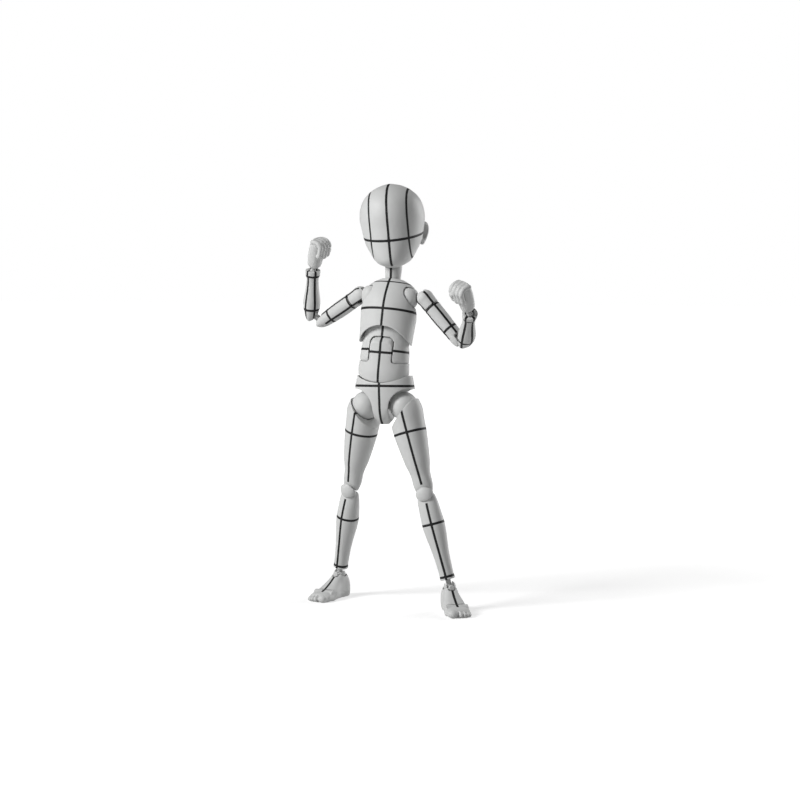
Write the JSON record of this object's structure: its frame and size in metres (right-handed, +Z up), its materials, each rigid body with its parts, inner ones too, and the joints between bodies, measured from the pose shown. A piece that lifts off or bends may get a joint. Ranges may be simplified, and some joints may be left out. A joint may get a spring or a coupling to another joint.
{
  "type": "posable drawing mannequin",
  "caption": "Blank-faced child-proportioned posable drawing mannequin in grey plastic with guide lines, jointed at neck, trunk, shoulders, elbows, wrists, hips, knees, ankles and toes.",
  "frame": {"origin": "centre of the bounding box on the floor plane under the soles", "axes": "+Z up through the standing figure, the face looks towards -Y, the figure's left side is +X"},
  "size_m": [0.0464, 0.028, 0.0983],
  "materials": {
    "body_grey": "satin moulded grey with thin black guide lines",
    "joint_grey": "satin moulded grey, slightly darker"
  },
  "bodies": {
    "pelvis": {"pelvis_front": "body_grey", "pelvis_back": "body_grey"},
    "waist_post": {"waist_post": "joint_grey"},
    "lower_belly": {"lower_belly": "body_grey"},
    "upper_belly": {"upper_belly": "body_grey"},
    "spine_link": {"spine_link": "joint_grey"},
    "chest": {"chest_front": "body_grey", "chest_back": "body_grey"},
    "neck": {"neck": "body_grey"},
    "head_peg": {"head_peg": "joint_grey"},
    "head": {"head": "body_grey"},
    "left_shoulder_drum": {"left_shoulder_drum": "body_grey"},
    "left_shoulder_peg": {"left_shoulder_peg": "joint_grey"},
    "left_shoulder_cap": {"left_shoulder_cap": "body_grey"},
    "left_upper_arm": {"left_upper_arm": "body_grey"},
    "left_elbow_link": {"left_elbow_link": "joint_grey"},
    "left_forearm": {"left_forearm": "body_grey"},
    "left_wrist_ball": {"left_wrist_ball": "joint_grey"},
    "left_hand": {"left_hand": "body_grey"},
    "left_hip_axle": {"left_hip_axle": "joint_grey"},
    "left_hip_ball": {"left_hip_ball": "body_grey"},
    "left_thigh": {"left_thigh": "body_grey"},
    "left_knee_link": {"left_knee_link": "joint_grey"},
    "left_shin": {"left_shin": "body_grey"},
    "left_ankle_peg": {"left_ankle_peg": "joint_grey"},
    "left_ankle_block": {"left_ankle_block": "joint_grey"},
    "left_foot": {"left_foot": "body_grey"},
    "left_toes": {"left_toes": "body_grey"},
    "right_shoulder_drum": {"right_shoulder_drum": "body_grey"},
    "right_shoulder_peg": {"right_shoulder_peg": "joint_grey"},
    "right_shoulder_cap": {"right_shoulder_cap": "body_grey"},
    "right_upper_arm": {"right_upper_arm": "body_grey"},
    "right_elbow_link": {"right_elbow_link": "joint_grey"},
    "right_forearm": {"right_forearm": "body_grey"},
    "right_wrist_ball": {"right_wrist_ball": "joint_grey"},
    "right_hand": {"right_hand": "body_grey"},
    "right_hip_axle": {"right_hip_axle": "joint_grey"},
    "right_hip_ball": {"right_hip_ball": "body_grey"},
    "right_thigh": {"right_thigh": "body_grey"},
    "right_knee_link": {"right_knee_link": "joint_grey"},
    "right_shin": {"right_shin": "body_grey"},
    "right_ankle_peg": {"right_ankle_peg": "joint_grey"},
    "right_ankle_block": {"right_ankle_block": "joint_grey"},
    "right_foot": {"right_foot": "body_grey"},
    "right_toes": {"right_toes": "body_grey"}
  },
  "joints": [
    {"name": "waist_turn", "type": "hinge", "parent": "pelvis", "child": "waist_post", "pos_m": [-0.00139, 0.00223, 0.05903], "axis": [-0.0087, 0.0523, 0.9986], "range_deg": [-25, 25]},
    {"name": "waist_tilt", "type": "hinge", "parent": "waist_post", "child": "lower_belly", "pos_m": [-0.00139, 0.00223, 0.05903], "axis": [0.0005, 0.9986, -0.0523], "range_deg": [-11, 3]},
    {"name": "belly_bend", "type": "hinge", "parent": "lower_belly", "child": "upper_belly", "pos_m": [-0.00139, 0.00223, 0.05903], "axis": [0.9981, -0.0037, -0.061], "range_deg": [-8, 22]},
    {"name": "chest_bend", "type": "hinge", "parent": "upper_belly", "child": "spine_link", "pos_m": [-0.00093, 0.00315, 0.06646], "axis": [0.9981, -0.0037, -0.061], "range_deg": [-2, 11]},
    {"name": "chest_turn", "type": "hinge", "parent": "spine_link", "child": "chest", "pos_m": [-0.00093, 0.00315, 0.06646], "axis": [0.0604, 0.2078, 0.9763], "range_deg": [-12, 12]},
    {"name": "neck_nod", "type": "hinge", "parent": "chest", "child": "neck", "pos_m": [-0.00042, 0.00491, 0.07476], "axis": [0.9981, -0.0037, -0.061], "range_deg": [-26, 8]},
    {"name": "head_tilt", "type": "hinge", "parent": "neck", "child": "head_peg", "pos_m": [-0.00018, 0.00498, 0.07855], "axis": [0.0026, 0.9998, -0.0175], "range_deg": [-10, 20]},
    {"name": "head_turn", "type": "hinge", "parent": "head_peg", "child": "head", "pos_m": [-0.00027, 0.00503, 0.08175], "axis": [-0.0262, 0.0176, 0.9995], "range_deg": [-79, 61]},
    {"name": "left_arm_forward", "type": "hinge", "parent": "chest", "child": "left_shoulder_drum", "pos_m": [0.00392, 0.00355, 0.07201], "axis": [0.0604, 0.2078, 0.9763], "range_deg": [-16, 30]},
    {"name": "left_arm_swing", "type": "hinge", "parent": "left_shoulder_drum", "child": "left_shoulder_peg", "pos_m": [0.00777, 0.00393, 0.07169], "axis": [0.9936, -0.1059, -0.0389], "range_deg": [-182, 48]},
    {"name": "left_arm_raise", "type": "hinge", "parent": "left_shoulder_peg", "child": "left_shoulder_cap", "pos_m": [0.00777, 0.00393, 0.07169], "axis": [0.1057, 0.9944, -0.0052], "range_deg": [-51, 29]},
    {"name": "left_arm_turn", "type": "hinge", "parent": "left_shoulder_cap", "child": "left_upper_arm", "pos_m": [0.00777, 0.00393, 0.07169], "axis": [-0.662, 0.0743, 0.7458], "range_deg": [-98, 47]},
    {"name": "left_elbow_upper", "type": "hinge", "parent": "left_upper_arm", "child": "left_elbow_link", "pos_m": [0.01595, 0.00301, 0.06248], "axis": [0.6148, 0.623, 0.4836], "range_deg": [-19, 51]},
    {"name": "left_elbow_lower", "type": "hinge", "parent": "left_elbow_link", "child": "left_forearm", "pos_m": [0.01842, 0.00086, 0.06211], "axis": [0.6148, 0.623, 0.4836], "range_deg": [-19, 51]},
    {"name": "left_wrist_bend", "type": "hinge", "parent": "left_forearm", "child": "left_wrist_ball", "pos_m": [0.02139, -0.00701, 0.06847], "axis": [0.6148, 0.623, 0.4836], "range_deg": [-5, 57]},
    {"name": "left_hand_turn", "type": "hinge", "parent": "left_wrist_ball", "child": "left_hand", "pos_m": [0.02139, -0.00701, 0.06847], "axis": [0.0834, 0.5584, -0.8254], "range_deg": [-90, 90]},
    {"name": "left_hip_swing", "type": "hinge", "parent": "pelvis", "child": "left_hip_axle", "pos_m": [0.00332, 0.0016, 0.04688], "axis": [1, 0, 0.0087], "range_deg": [-63, 30]},
    {"name": "left_hip_spread", "type": "hinge", "parent": "left_hip_axle", "child": "left_hip_ball", "pos_m": [0.00332, 0.0016, 0.04688], "axis": [0.0008, 0.9962, -0.0872], "range_deg": [-24.4, 7.6]},
    {"name": "left_thigh_turn", "type": "hinge", "parent": "left_hip_ball", "child": "left_thigh", "pos_m": [0.00332, 0.0016, 0.04688], "axis": [-0.2767, 0.084, 0.9573], "range_deg": [-25, 20]},
    {"name": "left_knee_upper", "type": "hinge", "parent": "left_thigh", "child": "left_knee_link", "pos_m": [0.00856, 0, 0.02874], "axis": [0.9574, 0.1101, 0.2671], "range_deg": [-4, 66]},
    {"name": "left_knee_lower", "type": "hinge", "parent": "left_knee_link", "child": "left_shin", "pos_m": [0.00968, -0.0002, 0.02481], "axis": [0.9574, 0.1101, 0.2671], "range_deg": [-4, 66]},
    {"name": "left_ankle_turn", "type": "hinge", "parent": "left_shin", "child": "left_ankle_peg", "pos_m": [0.01508, -0.00049, 0.0056], "axis": [-0.2702, 0.0147, 0.9627], "range_deg": [-52.8, 7.2]},
    {"name": "left_ankle_pitch", "type": "hinge", "parent": "left_ankle_peg", "child": "left_ankle_block", "pos_m": [0.01508, -0.00049, 0.0056], "axis": [0.843, 0.4867, 0.2292], "range_deg": [-38.5, 21.5]},
    {"name": "left_ankle_roll", "type": "hinge", "parent": "left_ankle_block", "child": "left_foot", "pos_m": [0.01508, -0.00049, 0.0056], "axis": [-0.5, 0.866, 0], "range_deg": [-35.3, 8.7]},
    {"name": "left_toe_bend", "type": "hinge", "parent": "left_foot", "child": "left_toes", "pos_m": [0.01818, -0.00586, 0.00125], "axis": [0.866, 0.5, 0], "range_deg": [-45, 5]},
    {"name": "right_arm_forward", "type": "hinge", "parent": "chest", "child": "right_shoulder_drum", "pos_m": [-0.00506, 0.00359, 0.07256], "axis": [0.0604, 0.2078, 0.9763], "range_deg": [-6.5, 39.5]},
    {"name": "right_arm_swing", "type": "hinge", "parent": "right_shoulder_drum", "child": "right_shoulder_peg", "pos_m": [-0.00846, 0.00546, 0.07237], "axis": [0.9547, -0.2976, 0.0043], "range_deg": [-177.5, 52.5]},
    {"name": "right_arm_raise", "type": "hinge", "parent": "right_shoulder_peg", "child": "right_shoulder_cap", "pos_m": [-0.00846, 0.00546, 0.07237], "axis": [0.2968, 0.9509, -0.087], "range_deg": [-44.5, 35.5]},
    {"name": "right_arm_turn", "type": "hinge", "parent": "right_shoulder_cap", "child": "right_upper_arm", "pos_m": [-0.00846, 0.00546, 0.07237], "axis": [0.8337, -0.2136, 0.5093], "range_deg": [-24, 121]},
    {"name": "right_elbow_upper", "type": "hinge", "parent": "right_upper_arm", "child": "right_elbow_link", "pos_m": [-0.01875, 0.0081, 0.06608], "axis": [-0.0818, -0.9597, -0.2687], "range_deg": [-4.5, 65.5]},
    {"name": "right_elbow_lower", "type": "hinge", "parent": "right_elbow_link", "child": "right_forearm", "pos_m": [-0.02153, 0.00784, 0.06784], "axis": [-0.0818, -0.9597, -0.2687], "range_deg": [-4.5, 65.5]},
    {"name": "right_wrist_bend", "type": "hinge", "parent": "right_forearm", "child": "right_wrist_ball", "pos_m": [-0.02011, 0.00491, 0.07787], "axis": [-0.0818, -0.9597, -0.2687], "range_deg": [-23, 39]},
    {"name": "right_hand_turn", "type": "hinge", "parent": "right_wrist_ball", "child": "right_hand", "pos_m": [-0.02011, 0.00491, 0.07787], "axis": [-0.2875, 0.2809, -0.9157], "range_deg": [-10, 170]},
    {"name": "right_hip_swing", "type": "hinge", "parent": "pelvis", "child": "right_hip_axle", "pos_m": [-0.00588, 0.0016, 0.0468], "axis": [1, 0, 0.0087], "range_deg": [-77, 16]},
    {"name": "right_hip_spread", "type": "hinge", "parent": "right_hip_axle", "child": "right_hip_ball", "pos_m": [-0.00588, 0.0016, 0.0468], "axis": [-0.0014, 0.9877, 0.1564], "range_deg": [-5.5, 26.5]},
    {"name": "right_thigh_turn", "type": "hinge", "parent": "right_hip_ball", "child": "right_thigh", "pos_m": [-0.00588, 0.0016, 0.0468], "axis": [0.2251, -0.1521, 0.9624], "range_deg": [-8, 37]},
    {"name": "right_knee_upper", "type": "hinge", "parent": "right_thigh", "child": "right_knee_link", "pos_m": [-0.01014, 0.00448, 0.02857], "axis": [0.9322, -0.2538, -0.2581], "range_deg": [-4, 66]},
    {"name": "right_knee_lower", "type": "hinge", "parent": "right_knee_link", "child": "right_shin", "pos_m": [-0.01103, 0.00524, 0.02464], "axis": [0.9322, -0.2538, -0.2581], "range_deg": [-4, 66]},
    {"name": "right_ankle_turn", "type": "hinge", "parent": "right_shin", "child": "right_ankle_peg", "pos_m": [-0.01511, 0.00959, 0.0056], "axis": [0.2047, -0.2184, 0.9541], "range_deg": [-29.3, 30.7]},
    {"name": "right_ankle_pitch", "type": "hinge", "parent": "right_ankle_peg", "child": "right_ankle_block", "pos_m": [-0.01511, 0.00959, 0.0056], "axis": [0.9282, -0.2662, -0.2601], "range_deg": [-21.2, 38.8]},
    {"name": "right_ankle_roll", "type": "hinge", "parent": "right_ankle_block", "child": "right_foot", "pos_m": [-0.01511, 0.00959, 0.0056], "axis": [0.2756, 0.9613, 0], "range_deg": [-6.9, 37.1]},
    {"name": "right_toe_bend", "type": "hinge", "parent": "right_foot", "child": "right_toes", "pos_m": [-0.01682, 0.00363, 0.00125], "axis": [0.9613, -0.2756, 0], "range_deg": [-45, 5]}
  ]
}
